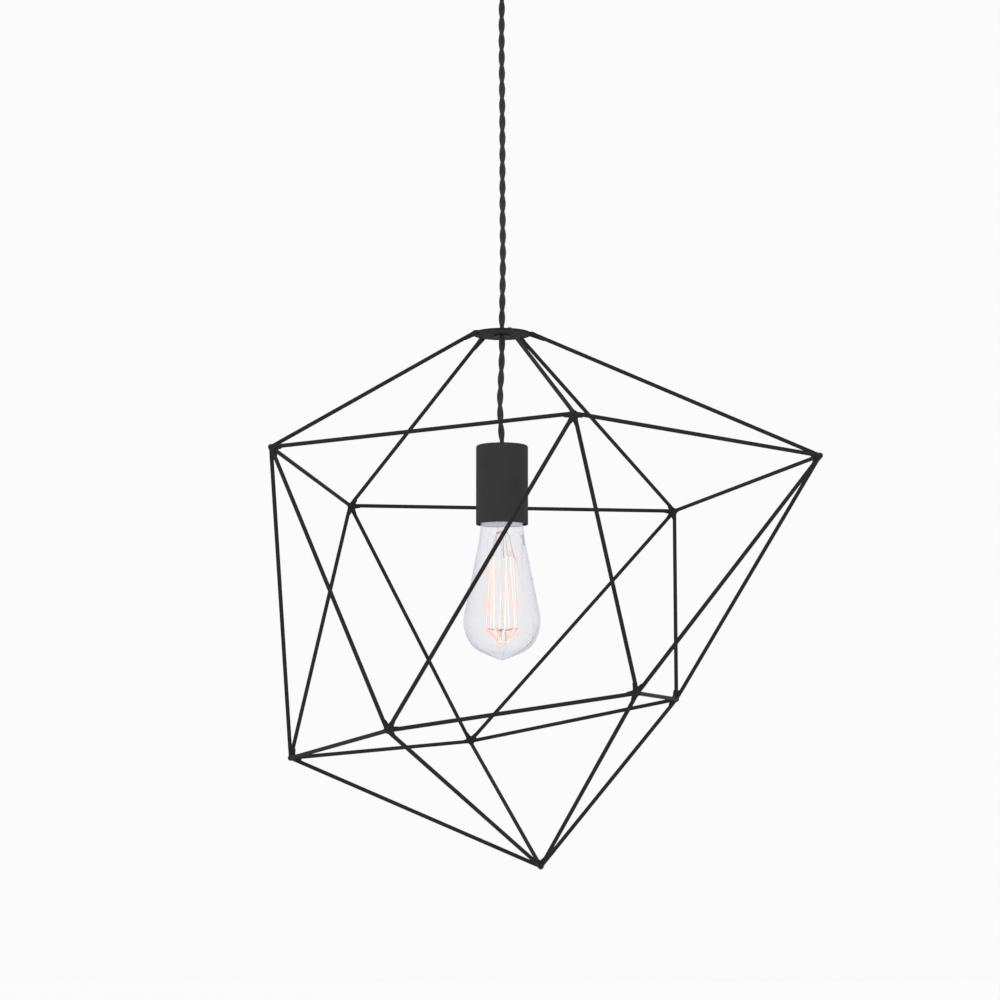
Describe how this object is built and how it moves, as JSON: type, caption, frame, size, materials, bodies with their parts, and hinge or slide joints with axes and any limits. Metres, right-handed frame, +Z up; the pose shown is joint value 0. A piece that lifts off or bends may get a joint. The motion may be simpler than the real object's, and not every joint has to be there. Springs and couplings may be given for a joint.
{
  "type": "pendant lamp",
  "caption": "Pendant lamp: a black geometric wire cage hung on a twisted cloth cord round a plain socket tube and a clear pear-shaped filament bulb, with a ceiling cup.",
  "frame": {"origin": "centre of the ceiling bracket's two slots, on the ceiling face", "axes": "+Z up into the ceiling, +X to the right as seen in the picture, +Y away from its camera"},
  "size_m": [0.451, 0.446, 0.8115],
  "materials": {
    "black_powder_coat": "matt fine-grained black powder coat",
    "zinc_plated_steel": "bright zinc plate",
    "black_nylon": "moulded black nylon",
    "terminal_plastic": "moulded natural polyamide",
    "brass": "turned and pressed brass",
    "cord_cloth": "black braided cloth over twin cores, twisted",
    "crimp_metal": "blackened aluminium",
    "holder_plastic": "moulded black thermoset",
    "shell_metal": "pressed shell",
    "bulb_cap_metal": "pressed and knurled cap",
    "black_vitrite": "black glass insulator",
    "clear_glass": "clear soda-lime glass",
    "support_wire": "copper-coloured support wire",
    "filament_carbon": "glowing filament"
  },
  "bodies": {
    "ceiling_fitting": {"ceiling_bracket": "zinc_plated_steel", "canopy_cup": "black_powder_coat", "canopy_side_screws": "zinc_plated_steel", "cord_grip": "black_nylon", "cord_grip_nut": "black_nylon", "terminal_block": "terminal_plastic", "terminal_sleeves": "brass", "terminal_screws": "zinc_plated_steel", "canopy_cores": "cord_cloth"},
    "hanging_cord": {"upper_cord": "cord_cloth", "crimp_ring": "crimp_metal"},
    "cage": {"cap_plate": "black_powder_coat", "cap_bush": "black_nylon", "corner_welds": "black_powder_coat", "crown_rod_left_upper": "black_powder_coat", "crown_rod_back_left_upper": "black_powder_coat", "crown_rod_back_right_upper": "black_powder_coat", "crown_rod_right_upper": "black_powder_coat", "crown_rod_front_upper": "black_powder_coat", "base_rod_left_lower": "black_powder_coat", "base_rod_front_left_lower": "black_powder_coat", "base_rod_front_right_lower": "black_powder_coat", "base_rod_back_right_lower": "black_powder_coat", "base_rod_back_lower": "black_powder_coat", "upper_ring_rod_1": "black_powder_coat", "upper_ring_rod_2": "black_powder_coat", "upper_ring_rod_3": "black_powder_coat", "upper_ring_rod_4": "black_powder_coat", "upper_ring_rod_5": "black_powder_coat", "lower_ring_rod_1": "black_powder_coat", "lower_ring_rod_2": "black_powder_coat", "lower_ring_rod_3": "black_powder_coat", "lower_ring_rod_4": "black_powder_coat", "lower_ring_rod_5": "black_powder_coat", "belt_rod_1": "black_powder_coat", "belt_rod_2": "black_powder_coat", "belt_rod_3": "black_powder_coat", "belt_rod_4": "black_powder_coat", "belt_rod_5": "black_powder_coat", "belt_rod_6": "black_powder_coat", "belt_rod_7": "black_powder_coat", "belt_rod_8": "black_powder_coat", "belt_rod_9": "black_powder_coat", "belt_rod_10": "black_powder_coat"},
    "socket": {"lower_cord": "cord_cloth", "socket_cover": "black_powder_coat", "cover_bush": "black_nylon", "holder_cap": "holder_plastic", "holder_body": "holder_plastic", "thread_shell": "shell_metal", "centre_contact": "brass", "holder_terminals": "brass", "holder_cores": "cord_cloth"},
    "bulb": {"bulb_glass": "clear_glass", "bulb_cap": "bulb_cap_metal", "bulb_insulator": "black_vitrite", "bulb_contact": "bulb_cap_metal", "bulb_stem": "clear_glass", "bulb_supports": "support_wire", "bulb_filament": "filament_carbon"}
  },
  "joints": [
    {"name": "lamp_swing", "type": "hinge", "parent": "ceiling_fitting", "child": "hanging_cord", "pos_m": [0, 0, -0.0598], "axis": [0, 1, 0], "range_deg": [-25, 25]},
    {"name": "cage_turn", "type": "hinge", "parent": "hanging_cord", "child": "cage", "pos_m": [0, 0, -0.364], "axis": [0, 0, 1], "range_deg": [-180, 180]},
    {"name": "socket_swing", "type": "hinge", "parent": "hanging_cord", "child": "socket", "pos_m": [0, 0, -0.3689], "axis": [1, 0, 0], "range_deg": [-12, 12]},
    {"name": "bulb_unscrew", "type": "slide", "parent": "socket", "child": "bulb", "axis": [0, 0, -1], "range_m": [0, 0.035]}
  ]
}
